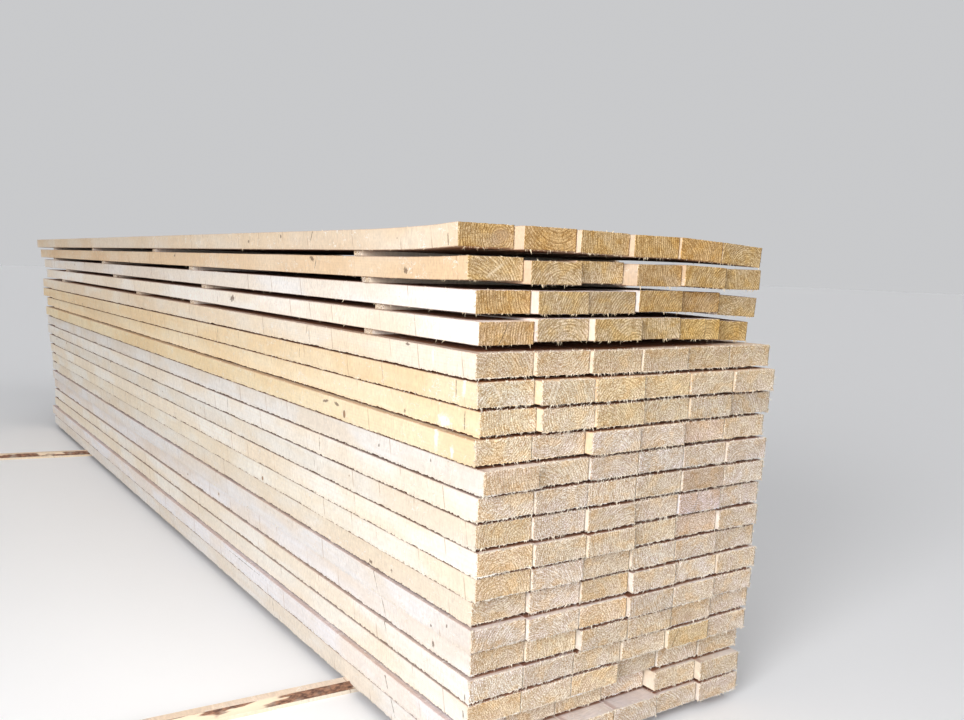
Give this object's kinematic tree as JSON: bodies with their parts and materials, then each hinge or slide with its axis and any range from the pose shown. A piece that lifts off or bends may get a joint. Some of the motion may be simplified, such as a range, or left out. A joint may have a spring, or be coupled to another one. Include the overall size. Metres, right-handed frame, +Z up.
{
  "type": "stack of lumber",
  "caption": "Block stack of rough-sawn softwood planks laid flat in courses on cross battens, with thin spacers between courses and uneven sawn ends.",
  "frame": {"origin": "on the floor, under the middle of the box that holds the planks and the battens", "axes": "+X along the planks towards the end with the staggered cross-cut faces that the picture shows, +Y across the stack away from the long side that the picture shows, +Z up"},
  "size_m": [5.421, 1.9982, 1.254],
  "materials": {
    "green_sawn_pine": "pale rough-sawn softwood, fuzzy cross-cut ends, fine upright saw marks on the faces, small knots",
    "dry_sawn_pine": "drier rough-sawn softwood, golden cross-cut ends with clear growth rings, cream faces",
    "spacer_lath": "thin sawn softwood lath, matt and pale",
    "waney_batten": "rough batten with a pale sawn face and brown bark along one edge"
  },
  "bodies": {
    "root": {"course_01": "green_sawn_pine", "course_02": "green_sawn_pine", "course_03": "green_sawn_pine", "course_04": "green_sawn_pine", "course_05": "green_sawn_pine", "course_06": "green_sawn_pine", "course_07": "green_sawn_pine", "course_08": "green_sawn_pine", "course_09": "green_sawn_pine", "course_10": "green_sawn_pine", "course_11": "green_sawn_pine", "course_12": "green_sawn_pine", "course_13": "green_sawn_pine", "course_14": "green_sawn_pine", "course_15": "green_sawn_pine", "course_16": "green_sawn_pine", "course_17": "dry_sawn_pine", "course_18": "dry_sawn_pine", "course_19": "dry_sawn_pine", "course_20": "dry_sawn_pine", "floor_battens": "waney_batten", "laths_01": "spacer_lath", "laths_02": "spacer_lath", "laths_03": "spacer_lath", "laths_04": "spacer_lath", "laths_05": "spacer_lath", "laths_06": "spacer_lath", "laths_07": "spacer_lath", "laths_08": "spacer_lath", "laths_09": "spacer_lath", "laths_10": "spacer_lath", "laths_11": "spacer_lath", "laths_12": "spacer_lath", "laths_13": "spacer_lath", "laths_14": "spacer_lath", "laths_15": "spacer_lath", "stickers_16": "spacer_lath", "stickers_17": "spacer_lath", "stickers_18": "spacer_lath", "stickers_19": "spacer_lath"}
  },
  "joints": []
}
